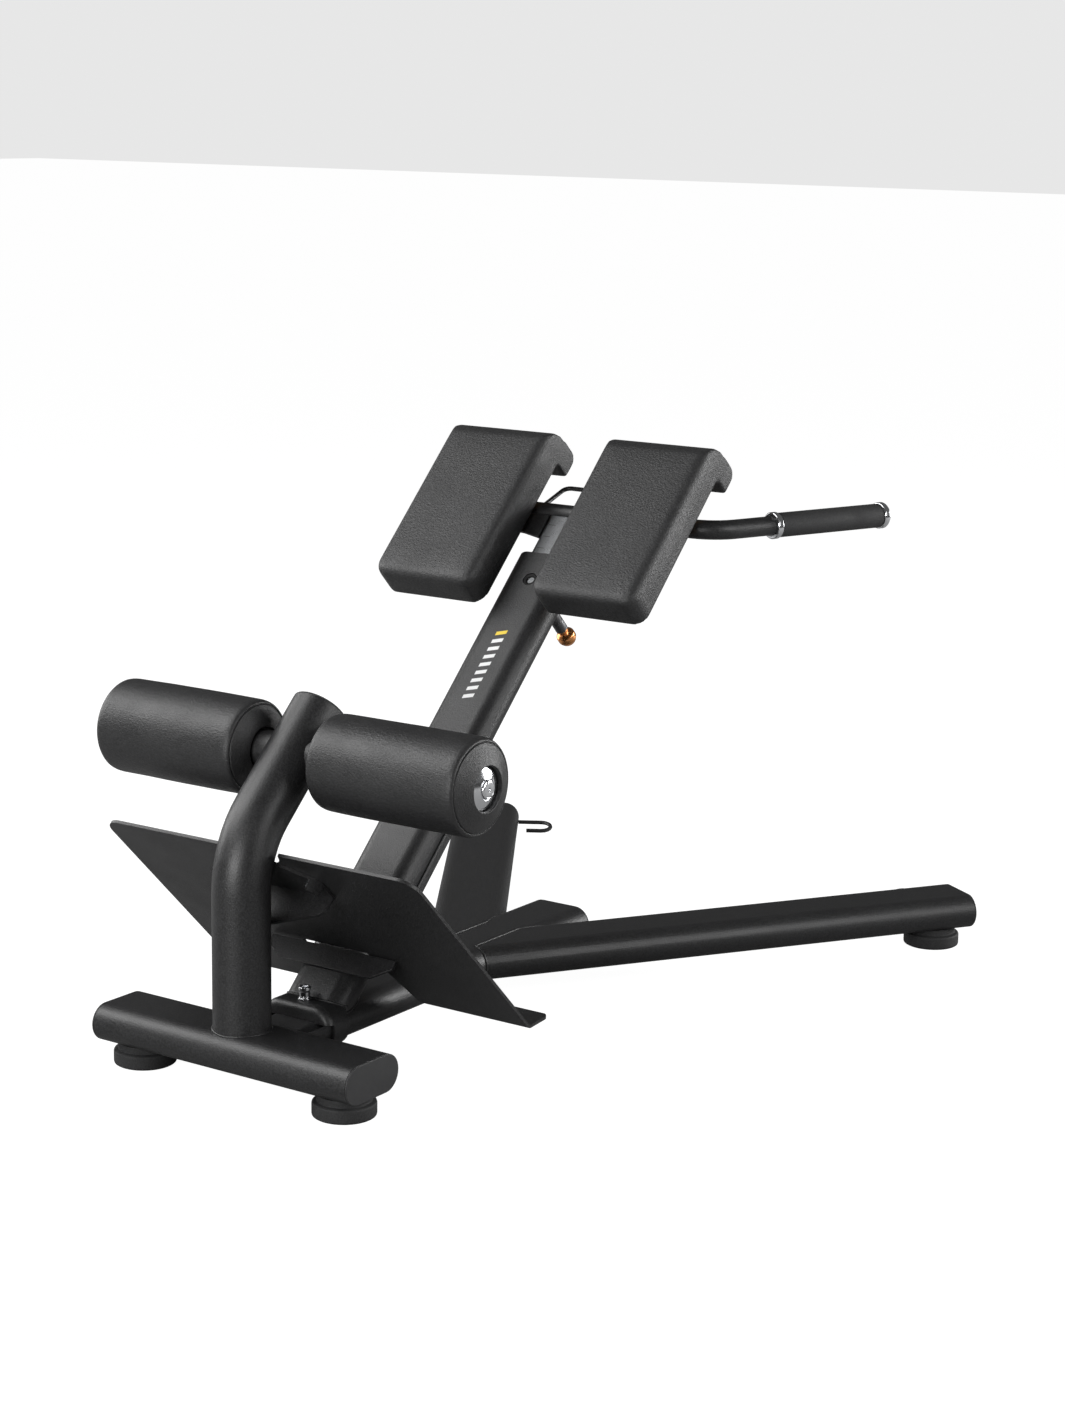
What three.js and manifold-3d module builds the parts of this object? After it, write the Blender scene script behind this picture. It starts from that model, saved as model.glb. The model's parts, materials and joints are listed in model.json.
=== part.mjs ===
// Roman chair (45 degree back extension bench), millimetres, +Z up, +Y towards the head end.
import * as THREE from "three";
import { mergeVertices } from "three/addons/utils/BufferGeometryUtils.js";
import Module from "manifold-3d";

const wasm = await Module();
wasm.setup();

// ---------- driving dimensions ----------
const GAP = 0.3;
const WALL = 3;
const ARC_STEPS = 8;
const BORE_STEPS = 4;

// flat-oval tube of the base frame
const TUBE_W = 128;
const TUBE_H = 60;
const BASE_Z = 65.9;
const BASE_TOP = BASE_Z + TUBE_H / 2;
const CROSSBAR_HALF = 252.6;
const CAP_FLANGE = 2.6;
const CAP_PLUG = 14;
const RAIL_END_Y = 868;
const RAIL_CUT_Y = 140;
const RAIL_CUT_Z = 76;
const LEG_SPLAY_DEG = 33;
const LEG_APEX_Y = 575;
const LEG_LENGTH = 969;
const LEG_FOOT_AT = 914;
const FRONT_FOOT_X = 199.4;
const FOOT_R = 49.5;
const FOOT_TIER = 24;

// joint between the crossbar and the rail
const COLLAR_Y0 = 140;
const COLLAR_Y1 = 178;
const COLLAR_WALL = 6;
const NOSE_R = 12;
const TONGUE_W = 104;
const TONGUE_H = 36;
const TONGUE_Z = 59.4;
const TONGUE_END_Y = 230;
const RAIL_BOLT_Y = 152;

// hooks on the rear legs
const ROD_R = 4;
const HOOK_AT = 929;
const HOOK_REACH = 65;
const HOOK_WIDTH = 38;
const HOOK_RETURN = 48;
const HOOK_DROP = 7.4;

// bent front post and ankle rollers
const FRONT_POST_R = 45.3;
const FRONT_POST_LEAN_DEG = 46.1;
const FRONT_POST_CORNER_Z = 379.8;
const FRONT_POST_BEND_R = 163;
const FRONT_POST_UPPER = 265;
const ROLLER_Y = 132.5;
const ROLLER_Z = 500.9;
const ROLLER_R = 75.8;
const ROLLER_X0 = 75;
const ROLLER_X1 = 350;
const ROLLER_BORE = 21;
const AXLE_R = 12.5;
const CROSS_TUBE_R = 31;
const CROSS_TUBE_HALF = 71;
const DISC_R = 33;
const END_CONE = 13;
const END_CONE_R = 67;
const END_HOLE_R = 34.5;
const END_HOLE_DEPTH = 10.5;

// foot plate
const PLATE_DEG = 45.4;
const PLATE_TOP_Y = 24.3;
const PLATE_TOP_Z = 370.9;
const PLATE_HALF = 305.5;
const PLATE_T = 5;
const PLATE_DROP = 428;
const PLATE_CORNER_R = 32;
const TOE_DEPTH = 50;
const TOE_CORNER_R = 12;
const TOE_RISE_DEG = 4;
const SLOT_TOP = 283;
const SLOT_BOTTOM = 434;
const SLOT_HALF_TOP = 65;
const SLOT_HALF_BOTTOM = 94;
const BRACKET_T = 5;
const BRACKET_ROOT = 95;
const BRACKET_HALF = 107;
const BRACKET_BOLT_X = 78;
const BRACKET_BOLT_DOWN = 66;
const STRAP_HALF = 125;
const STRAP_S0 = 33;
const STRAP_S1 = 71;

// inclined main post
const POST_DEG = 44.75;
const POST_FOOT_Y = 198;
const POST_W = 117;
const POST_H = 58;
const POST_TOP = 875;
const DOUBLER_S0 = 96;
const DOUBLER_S1 = 405;
const DOUBLER_T = 5;
const DOUBLER_EDGE_H = -14;

// pop-pin, heights along its own axis, zero on the centre line of the post
const PIN_S = 819;
const PIN_R = 5;
const PIN_TIP = -15;
const BARREL_R = 11;
const BARREL_BORE = 7.2;
const BARREL_END = -114.5;
const KNOB_FROM = -115;
const KNOB_TO = -151;
const KNOB_R = 16.5;

// slide bar, handlebar and pad carrier
const BAR_W = 62;
const BAR_H = 50;
const BAR_S0 = 600;
const BAR_S1 = 958.5;
const HOLE_PITCH = 25;
const HOLE_COUNT = 7;
const HANDLE_S = 976;
const HANDLE_H = 8;
const HANDLE_R = 16.5;
const HANDLE_CORNER_X = 285.3;
const HANDLE_OUT_DEG = 20;
const HANDLE_BEND_R = 62;
const GRIP_START = 137;
const GRIP_END = 368;
const GRIP_R = 21;
const COLLAR_R = 23;
const LOOP_HALF = 55;
const LOOP_REACH_Y = 947;
const LOOP_REACH_Z = 824.6;
const LOOP_RISE_DEG = 19;
const WING_H0 = 18.5;
const WING_T = 6;
const PAD_RAIL_W = 44;

// thigh pads
const PAD_X0 = 59.5;
const PAD_X1 = 266.5;
const PAD_BACK = 35;
const PAD_FACE = 99;
const PAD_S0 = 750;
const PAD_S1 = 1108;
const PAD_LIP_S = 1061;
const PAD_LIP_H = -4;
const PAD_CHAMFER = 15;
const BOARD_T = 12;
const BOARD_INSET = 11;

const rad = THREE.MathUtils.degToRad;
const vec = (x, y, z) => new THREE.Vector3(x, y, z);

// ---------- looks ----------
const POWDER = { color: 0x17171a, roughness: 0.55, metalness: 0.3 };
const CAP_BLACK = { color: 0x1b1b1d, roughness: 0.5, metalness: 0.0 };
const RUBBER = { color: 0x101011, roughness: 0.85, metalness: 0.0 };
const FOAM = { color: 0x141415, roughness: 0.7, metalness: 0.0 };
const LEATHER = { color: 0x131314, roughness: 0.55, metalness: 0.0 };
const CHROME = { color: 0xd8dadd, roughness: 0.12, metalness: 1.0 };
const STEEL = { color: 0xa9adb1, roughness: 0.35, metalness: 1.0 };
const COPPER = { color: 0xc8733a, roughness: 0.25, metalness: 1.0 };
const NYLON = { color: 0x26272a, roughness: 0.6, metalness: 0.0 };
const PLYWOOD = { color: 0xb08a5a, roughness: 0.7, metalness: 0.0 };

// ---------- solid helpers ----------
function signedVolume(position, index) {
  const a = new THREE.Vector3();
  const b = new THREE.Vector3();
  const c = new THREE.Vector3();
  let sum = 0;
  for (let i = 0; i < index.length; i += 3) {
    a.fromArray(position, index[i] * 3);
    b.fromArray(position, index[i + 1] * 3);
    c.fromArray(position, index[i + 2] * 3);
    sum += a.dot(b.cross(c));
  }
  return sum / 6;
}

// Welds the corners, drops collapsed triangles and turns every face outwards.
function solid(geometry) {
  const bare = new THREE.BufferGeometry();
  bare.setAttribute("position", geometry.getAttribute("position").clone());
  if (geometry.index) {
    bare.setIndex(geometry.index.clone());
  }
  const merged = mergeVertices(bare, 1e-4);
  const source = merged.index.array;
  const index = [];
  for (let i = 0; i < source.length; i += 3) {
    const [a, b, c] = [source[i], source[i + 1], source[i + 2]];
    if (a !== b && b !== c && c !== a) {
      index.push(a, b, c);
    }
  }
  const position = merged.getAttribute("position").array;
  if (signedVolume(position, index) < 0) {
    for (let i = 0; i < index.length; i += 3) {
      [index[i], index[i + 1]] = [index[i + 1], index[i]];
    }
  }
  const mesh = new wasm.Mesh({
    numProp: 3,
    vertProperties: new Float32Array(position),
    triVerts: new Uint32Array(index),
  });
  return new wasm.Manifold(mesh);
}

function geometryOf(manifold) {
  const mesh = manifold.getMesh();
  const geometry = new THREE.BufferGeometry();
  geometry.setAttribute("position", new THREE.BufferAttribute(mesh.vertProperties, 3));
  geometry.setIndex(new THREE.BufferAttribute(mesh.triVerts, 1));
  return geometry;
}

function cut(base, ...tools) {
  return geometryOf(tools.reduce((left, tool) => left.subtract(solid(tool)), solid(base)));
}

function join(first, ...others) {
  return geometryOf(others.reduce((sum, other) => sum.add(solid(other)), solid(first)));
}

function common(first, second) {
  return geometryOf(solid(first).intersect(solid(second)));
}

function hulled(...parts) {
  return geometryOf(wasm.Manifold.hull(parts.map(solid)));
}

function mirrored(geometry) {
  return geometryOf(solid(geometry.clone().scale(-1, 1, 1)));
}

// ---------- shape helpers ----------
function oval(width, height) {
  const r = height / 2;
  const reach = width / 2 - r;
  const shape = new THREE.Shape();
  shape.moveTo(-reach, -r);
  shape.lineTo(reach, -r);
  shape.absarc(reach, 0, r, -Math.PI / 2, Math.PI / 2, false);
  shape.lineTo(-reach, r);
  shape.absarc(-reach, 0, r, Math.PI / 2, Math.PI * 1.5, false);
  return shape;
}

function roundedRect(x0, y0, x1, y1, r) {
  const shape = new THREE.Shape();
  shape.moveTo(x0 + r, y0);
  shape.lineTo(x1 - r, y0);
  shape.absarc(x1 - r, y0 + r, r, -Math.PI / 2, 0, false);
  shape.lineTo(x1, y1 - r);
  shape.absarc(x1 - r, y1 - r, r, 0, Math.PI / 2, false);
  shape.lineTo(x0 + r, y1);
  shape.absarc(x0 + r, y1 - r, r, Math.PI / 2, Math.PI, false);
  shape.lineTo(x0, y0 + r);
  shape.absarc(x0 + r, y0 + r, r, Math.PI, Math.PI * 1.5, false);
  return shape;
}

function polygon(points) {
  return new THREE.Shape(points.map(([x, y]) => new THREE.Vector2(x, y)));
}

// Shape drawn in X and Y, raised along Z.
function prismZ(shape, z0, z1, curveSegments = ARC_STEPS) {
  const options = { depth: z1 - z0, bevelEnabled: false, curveSegments };
  return new THREE.ExtrudeGeometry(shape, options).translate(0, 0, z0);
}

// Shape drawn in X and Z, run along Y.
function prismY(shape, y0, y1, curveSegments = ARC_STEPS) {
  return prismZ(shape, 0, y1 - y0, curveSegments).rotateX(Math.PI / 2).translate(0, y1, 0);
}

// Shape drawn in Y and Z, run along X.
function prismX(shape, x0, x1, curveSegments = ARC_STEPS) {
  const turn = new THREE.Matrix4().makeBasis(vec(0, 1, 0), vec(0, 0, 1), vec(1, 0, 0));
  return prismZ(shape, 0, x1 - x0, curveSegments).applyMatrix4(turn).translate(x0, 0, 0);
}

function box(x0, y0, z0, x1, y1, z1) {
  const geometry = new THREE.BoxGeometry(x1 - x0, y1 - y0, z1 - z0);
  return geometry.translate((x0 + x1) / 2, (y0 + y1) / 2, (z0 + z1) / 2);
}

function cylinderX(r, x0, x1, segments = 32) {
  const geometry = new THREE.CylinderGeometry(r, r, x1 - x0, segments);
  return geometry.rotateZ(-Math.PI / 2).translate((x0 + x1) / 2, 0, 0);
}

function cylinderY(r, y0, y1, segments = 32) {
  const geometry = new THREE.CylinderGeometry(r, r, y1 - y0, segments);
  return geometry.translate(0, (y0 + y1) / 2, 0);
}

function cylinderZ(r, z0, z1, segments = 32) {
  const geometry = new THREE.CylinderGeometry(r, r, z1 - z0, segments);
  return geometry.rotateX(Math.PI / 2).translate(0, 0, (z0 + z1) / 2);
}

// Profile of [radius, height] turned about Z.
function turnedZ(profile, segments = 32) {
  const points = profile.map(([r, z]) => new THREE.Vector2(r, z));
  return new THREE.LatheGeometry(points, segments).rotateX(Math.PI / 2);
}

function turnedX(profile, segments = 32) {
  return turnedZ(profile, segments).rotateY(Math.PI / 2);
}

// Polyline with every inner corner rounded to one bend radius.
function bentPath(corners, bendRadius, stepsPerBend = 6) {
  const path = [corners[0].clone()];
  for (let i = 1; i < corners.length - 1; i += 1) {
    const into = corners[i].clone().sub(corners[i - 1]).normalize();
    const out = corners[i + 1].clone().sub(corners[i]).normalize();
    const turn = into.angleTo(out);
    const start = corners[i].clone().addScaledVector(into, -bendRadius * Math.tan(turn / 2));
    const side = out.clone().addScaledVector(into, -into.dot(out)).normalize();
    const centre = start.clone().addScaledVector(side, bendRadius);
    for (let k = 0; k <= stepsPerBend; k += 1) {
      const a = (turn * k) / stepsPerBend;
      const point = centre.clone().addScaledVector(side, -bendRadius * Math.cos(a));
      path.push(point.addScaledVector(into, bendRadius * Math.sin(a)));
    }
  }
  path.push(corners[corners.length - 1].clone());
  return path;
}

// Round bar that follows a path, closed by flat ends.
function rod(path, radius, segments = 16) {
  const position = [];
  const index = [];
  const last = path.length - 1;
  const tangentAt = (i) =>
    path[Math.min(i + 1, last)].clone().sub(path[Math.max(i - 1, 0)]).normalize();
  let tangent = tangentAt(0);
  const helper = Math.abs(tangent.x) < 0.9 ? vec(1, 0, 0) : vec(0, 1, 0);
  const normal = helper.addScaledVector(tangent, -helper.dot(tangent)).normalize();
  path.forEach((point, i) => {
    const next = tangentAt(i);
    normal.applyQuaternion(new THREE.Quaternion().setFromUnitVectors(tangent, next));
    tangent = next;
    const side = tangent.clone().cross(normal);
    for (let k = 0; k < segments; k += 1) {
      const a = (2 * Math.PI * k) / segments;
      const corner = point.clone().addScaledVector(normal, radius * Math.cos(a));
      position.push(...corner.addScaledVector(side, radius * Math.sin(a)).toArray());
    }
  });
  for (let i = 0; i < last; i += 1) {
    for (let k = 0; k < segments; k += 1) {
      const [a, b] = [i * segments + k, i * segments + ((k + 1) % segments)];
      index.push(a, b, b + segments, a, b + segments, a + segments);
    }
  }
  const [first, final] = [position.length / 3, position.length / 3 + 1];
  position.push(...path[0].toArray(), ...path[last].toArray());
  for (let k = 0; k < segments; k += 1) {
    const next = (k + 1) % segments;
    index.push(first, next, k);
    index.push(final, last * segments + k, last * segments + next);
  }
  const geometry = new THREE.BufferGeometry();
  geometry.setAttribute("position", new THREE.Float32BufferAttribute(position, 3));
  geometry.setIndex(index);
  return geometry;
}

// ---------- local frames ----------
// Main post frame: X across, Y up along the post, Z out of its front face.
function onPost(geometry) {
  return geometry.rotateX(rad(POST_DEG)).translate(0, POST_FOOT_Y, BASE_TOP);
}

function postPoint(x, s, h) {
  const point = vec(x, s, h).applyAxisAngle(vec(1, 0, 0), rad(POST_DEG));
  return point.add(vec(0, POST_FOOT_Y, BASE_TOP));
}

// Foot plate frame: X across, Y out of the standing face, Z up the slope from the top edge.
function onPlate(geometry) {
  return geometry.rotateX(rad(PLATE_DEG)).translate(0, PLATE_TOP_Y, PLATE_TOP_Z);
}

function onLeg(geometry) {
  return geometry.rotateZ(-rad(LEG_SPLAY_DEG)).translate(0, LEG_APEX_Y, BASE_Z);
}

function onRollerAxis(geometry) {
  return geometry.translate(0, ROLLER_Y, ROLLER_Z);
}

// ---------- assembly list ----------
const part = new THREE.Group();
part.name = "roman_chair";

function add(name, geometry, look) {
  const mesh = new THREE.Mesh(geometryOf(solid(geometry)), new THREE.MeshStandardMaterial(look));
  mesh.name = name;
  part.add(mesh);
}

function addPair(name, rightGeometry, look) {
  add(`${name}_right`, rightGeometry, look);
  add(`${name}_left`, mirrored(rightGeometry), look);
}

// ---------- base frame ----------
const tubeOuter = oval(TUBE_W, TUBE_H);
const tubeInner = oval(TUBE_W - 2 * WALL, TUBE_H - 2 * WALL);
const tubeEnvelope = oval(TUBE_W + 2 * GAP, TUBE_H + 2 * GAP);
const tubePlug = oval(TUBE_W - 2 * WALL - 2 * GAP, TUBE_H - 2 * WALL - 2 * GAP);

function crossbarEnvelope() {
  return prismX(tubeEnvelope, -CROSSBAR_HALF, CROSSBAR_HALF).translate(0, 0, BASE_Z);
}

function railEnvelope(y0, y1) {
  return prismY(tubeEnvelope, y0, y1).translate(0, 0, BASE_Z);
}

function endCap(prism, end) {
  const flange = prism(tubeOuter, end - CAP_FLANGE, end);
  const plug = prism(tubePlug, end - CAP_FLANGE - CAP_PLUG, end - CAP_FLANGE, BORE_STEPS);
  return join(flange, plug);
}

function buildCrossbar() {
  const half = CROSSBAR_HALF - CAP_FLANGE - GAP;
  const bore = prismX(tubeInner, -half - 1, half + 1, BORE_STEPS);
  const tube = cut(prismX(tubeOuter, -half, half), bore);
  add("front_crossbar", tube.translate(0, 0, BASE_Z), POWDER);
  addPair("crossbar_cap", endCap(prismX, CROSSBAR_HALF).translate(0, 0, BASE_Z), CAP_BLACK);
}

function buildRail() {
  const end = RAIL_END_Y - CAP_FLANGE - GAP;
  const outer = prismY(tubeOuter, 20, end).translate(0, 0, BASE_Z);
  const inner = prismY(tubeInner, 10, end + 10, BORE_STEPS).translate(0, 0, BASE_Z);
  const mouth = box(-TUBE_W, 0, RAIL_CUT_Z, TUBE_W, RAIL_CUT_Y, BASE_TOP + 10);
  const boltHole = cylinderZ(7.2, BASE_Z, BASE_TOP + 10, 12).translate(0, RAIL_BOLT_Y, 0);
  add("base_rail", cut(outer, inner, crossbarEnvelope(), mouth, boltHole), POWDER);
  add("base_rail_cap", endCap(prismY, RAIL_END_Y).translate(0, 0, BASE_Z), CAP_BLACK);
}

// Block the size of the rail collar, grown on every side by the extra.
function collarBlank(extra = 0) {
  const grown = 2 * (GAP + COLLAR_WALL + extra);
  const section = oval(TUBE_W + grown, TUBE_H + grown);
  return prismY(section, COLLAR_Y0 - extra, COLLAR_Y1 + extra).translate(0, 0, BASE_Z);
}

function buildRailJoint() {
  const boltHole = cylinderZ(7.2, BASE_Z, BASE_TOP + 20, 12).translate(0, RAIL_BOLT_Y, 0);
  const collar = cut(collarBlank(), railEnvelope(COLLAR_Y0 - 5, COLLAR_Y1 + 5), boltHole);
  add("rail_collar", collar, POWDER);
  const slices = [];
  for (let i = 0; i <= 6; i += 1) {
    const a = rad(15 * i);
    const y = COLLAR_Y0 - GAP - NOSE_R * Math.sin(a);
    const smaller = 2 * (GAP + COLLAR_WALL - NOSE_R * (1 - Math.cos(a)));
    slices.push(prismY(oval(TUBE_W + smaller, TUBE_H + smaller), y - 0.05, y, 6));
  }
  const nose = hulled(...slices).translate(0, 0, BASE_Z);
  const passage = oval(TONGUE_W + 2 * GAP, TONGUE_H + 2 * GAP);
  const opening = prismY(passage, 0, COLLAR_Y0 + 10, 6).translate(0, 0, TONGUE_Z);
  const lower = box(-200, 0, 0, 200, 400, RAIL_CUT_Z + GAP);
  add("rail_nose", cut(nose, opening, lower), POWDER);
  const seat = BASE_TOP + GAP + COLLAR_WALL + GAP;
  const bolt = turnedZ([
    [0, TONGUE_Z + TONGUE_H / 2 - WALL],
    [6.2, TONGUE_Z + TONGUE_H / 2 - WALL],
    [6.2, seat],
    [11, seat],
    [11, seat + 3],
    [8, seat + 5],
    [8, seat + 15],
    [10, seat + 17],
    [10, seat + 21],
    [0, seat + 21],
  ], 18);
  add("rail_bolt", bolt.translate(0, RAIL_BOLT_Y, 0), CHROME);
  const outer = prismY(oval(TONGUE_W, TONGUE_H), 20, TONGUE_END_Y, 5);
  const hollow = oval(TONGUE_W - 2 * WALL, TONGUE_H - 2 * WALL);
  const inner = prismY(hollow, 10, TONGUE_END_Y + 10, 3);
  const hole = cylinderZ(7.2, 0, TONGUE_H, 12).translate(0, RAIL_BOLT_Y, 0);
  const tongue = cut(outer, inner, hole).translate(0, 0, TONGUE_Z);
  add("rail_tongue", cut(tongue, crossbarEnvelope()), POWDER);
}

function buildLegs() {
  const end = LEG_LENGTH - CAP_FLANGE - GAP;
  const outer = prismY(tubeOuter, 0, end);
  const inner = prismY(tubeInner, -10, end + 10, BORE_STEPS);
  const tube = onLeg(cut(outer, inner));
  const inside = box(-200, 400, 0, 8, 900, 200);
  add("rear_leg_right", cut(tube, railEnvelope(300, RAIL_END_Y), inside), POWDER);
  const left = mirrored(cut(tube, railEnvelope(300, RAIL_END_Y), inside));
  add("rear_leg_left", left, POWDER);
  addPair("rear_leg_cap", onLeg(endCap(prismY, LEG_LENGTH)), CAP_BLACK);
}

function footBlank() {
  return turnedZ([
    [0, 0],
    [FOOT_R - 2, 0],
    [FOOT_R, 3],
    [FOOT_R, FOOT_TIER - 3],
    [FOOT_R - 5, FOOT_TIER],
    [FOOT_R - 8, BASE_Z - TUBE_H / 2 - GAP],
    [0, BASE_Z - TUBE_H / 2 - GAP],
  ], 28);
}

function buildFeet() {
  addPair("front_foot", footBlank().translate(FRONT_FOOT_X, 0, 0), RUBBER);
  const x = LEG_FOOT_AT * Math.sin(rad(LEG_SPLAY_DEG));
  const y = LEG_APEX_Y + LEG_FOOT_AT * Math.cos(rad(LEG_SPLAY_DEG));
  addPair("rear_foot", footBlank().translate(x, y, 0), RUBBER);
}

function buildHooks() {
  const root = -TUBE_W / 2 - GAP;
  const corners = [
    vec(root, HOOK_AT, 0),
    vec(root - HOOK_REACH, HOOK_AT, 0),
    vec(root - HOOK_REACH, HOOK_AT - HOOK_WIDTH, -HOOK_DROP),
    vec(root - HOOK_REACH + HOOK_RETURN, HOOK_AT - HOOK_WIDTH, -HOOK_DROP),
  ];
  addPair("leg_hook", onLeg(rod(bentPath(corners, HOOK_WIDTH / 2 - 0.2, 4), ROD_R, 8)), POWDER);
}

// ---------- front post and rollers ----------
function frontPostPath(extra = 0) {
  const lean = rad(FRONT_POST_LEAN_DEG);
  const reach = FRONT_POST_UPPER + extra;
  const top = vec(0, reach * Math.sin(lean), FRONT_POST_CORNER_Z + reach * Math.cos(lean));
  const corners = [vec(0, 0, BASE_Z - extra), vec(0, 0, FRONT_POST_CORNER_Z), top];
  return bentPath(corners, FRONT_POST_BEND_R, 8);
}

function buildFrontPost() {
  const outer = rod(frontPostPath(-CAP_FLANGE - GAP), FRONT_POST_R, 32);
  const inner = rod(frontPostPath(20), FRONT_POST_R - WALL, 16);
  const cross = onRollerAxis(cylinderX(CROSS_TUBE_R + GAP, -80, 80, 28));
  add("front_post", cut(outer, inner, crossbarEnvelope(), cross), POWDER);
  const flange = cylinderZ(FRONT_POST_R, -CAP_FLANGE, 0, 32);
  const plug = cylinderZ(FRONT_POST_R - WALL - 1.3, -CAP_FLANGE - 12, -CAP_FLANGE, 16);
  const cap = join(flange, plug).rotateX(-rad(FRONT_POST_LEAN_DEG));
  const top = frontPostPath().pop();
  add("front_post_cap", cap.translate(top.x, top.y, top.z), CAP_BLACK);
}

function buildRollers() {
  const sleeve = cut(
    cylinderX(CROSS_TUBE_R, -CROSS_TUBE_HALF, CROSS_TUBE_HALF, 28),
    cylinderX(AXLE_R + GAP, -CROSS_TUBE_HALF - 1, CROSS_TUBE_HALF + 1, 16),
  );
  add("roller_cross_tube", onRollerAxis(sleeve), POWDER);
  const axleHalf = ROLLER_X1 - 5;
  add("roller_axle", onRollerAxis(cylinderX(AXLE_R, -axleHalf, axleHalf, 16)), STEEL);
  const nearHole = ROLLER_X0 - END_CONE;
  const farHole = ROLLER_X1 + END_CONE;
  const foam = turnedX([
    [ROLLER_BORE, nearHole + END_HOLE_DEPTH],
    [END_HOLE_R, nearHole + END_HOLE_DEPTH],
    [END_HOLE_R, nearHole + 1.5],
    [END_HOLE_R + 1.5, nearHole],
    [END_CONE_R, ROLLER_X0],
    [ROLLER_R - 4, ROLLER_X0 + 3],
    [ROLLER_R - 1, ROLLER_X0 + 7],
    [ROLLER_R, ROLLER_X0 + 12],
    [ROLLER_R, ROLLER_X1 - 12],
    [ROLLER_R - 1, ROLLER_X1 - 7],
    [ROLLER_R - 4, ROLLER_X1 - 3],
    [END_CONE_R, ROLLER_X1],
    [END_HOLE_R + 1.5, farHole],
    [END_HOLE_R, farHole - 1.5],
    [END_HOLE_R, farHole - END_HOLE_DEPTH],
    [ROLLER_BORE, farHole - END_HOLE_DEPTH],
    [ROLLER_BORE, nearHole + END_HOLE_DEPTH],
  ], 36);
  addPair("ankle_roller", onRollerAxis(foam), FOAM);
  const core = cut(
    cylinderX(ROLLER_BORE - GAP, nearHole + END_HOLE_DEPTH, farHole - END_HOLE_DEPTH - 0.5, 20),
    cylinderX(AXLE_R + 0.45, nearHole, farHole, 16),
  );
  addPair("roller_core", onRollerAxis(core), NYLON);
  const back = farHole - END_HOLE_DEPTH + 0.4;
  const disc = turnedX([
    [0, back],
    [DISC_R - 1, back],
    [DISC_R, back + 1],
    [DISC_R, back + 3],
    [16, back + 8.5],
    [15, back + 11.5],
    [12, back + 12.5],
    [0, back + 12.5],
  ], 28);
  addPair("roller_end_disc", onRollerAxis(disc), CHROME);
}

// ---------- foot plate ----------
// Side profile in (out of the standing face, up the slope), bent up into the toe strip.
function plateProfile() {
  const turn = rad(PLATE_DEG + TOE_RISE_DEG);
  const inner = 6;
  const outer = inner + PLATE_T;
  const steps = 6;
  const bottom = [];
  const top = [];
  for (let i = 0; i <= steps; i += 1) {
    const a = (turn * i) / steps;
    bottom.push([outer - outer * Math.cos(a), -PLATE_DROP - outer * Math.sin(a)]);
    top.push([outer - inner * Math.cos(a), -PLATE_DROP - inner * Math.sin(a)]);
  }
  const run = [Math.sin(turn) * TOE_DEPTH, -Math.cos(turn) * TOE_DEPTH];
  const [b, t] = [bottom[steps], top[steps]];
  const tip = [
    [b[0] + run[0], b[1] + run[1]],
    [t[0] + run[0], t[1] + run[1]],
  ];
  return polygon([[0, 0], ...bottom, ...tip, ...top.reverse(), [PLATE_T, 0]]);
}

function buildFootPlate() {
  const sheet = onPlate(prismX(plateProfile(), -PLATE_HALF, PLATE_HALF));
  const outline = roundedRect(-PLATE_HALF, -PLATE_DROP - 120, PLATE_HALF, 0, PLATE_CORNER_R);
  const topCorners = onPlate(prismY(outline, -30, 90, 8));
  sheet.computeBoundingBox();
  const toePlan = roundedRect(-PLATE_HALF, -100, PLATE_HALF, sheet.boundingBox.max.y, TOE_CORNER_R);
  const toeCorners = prismZ(toePlan, 0, 500, 5);
  const flare = (SLOT_HALF_BOTTOM - SLOT_HALF_TOP) / (SLOT_BOTTOM - SLOT_TOP);
  const past = 100;
  const mouth = SLOT_HALF_BOTTOM + flare * past;
  const slot = onPlate(prismY(polygon([
    [-SLOT_HALF_TOP, -SLOT_TOP],
    [-mouth, -SLOT_BOTTOM - past],
    [mouth, -SLOT_BOTTOM - past],
    [SLOT_HALF_TOP, -SLOT_TOP],
  ]), -30, 90));
  const trimmed = common(common(sheet, topCorners), toeCorners);
  const boltHole = (x) => onPlate(cylinderY(5, -20, 20, 12).translate(x, 0, -BRACKET_BOLT_DOWN));
  const postClear = rod(frontPostPath(), FRONT_POST_R + 7, 28);
  const plate = cut(trimmed, slot, postClear, boltHole(-BRACKET_BOLT_X), boltHole(BRACKET_BOLT_X));
  add("foot_plate", plate, POWDER);
}

// Flat piece with the [x, up the slope] outline, between two distances from the standing face.
function onPlateFace(points, y0, y1) {
  return prismY(polygon(points), y0, y1);
}

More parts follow.
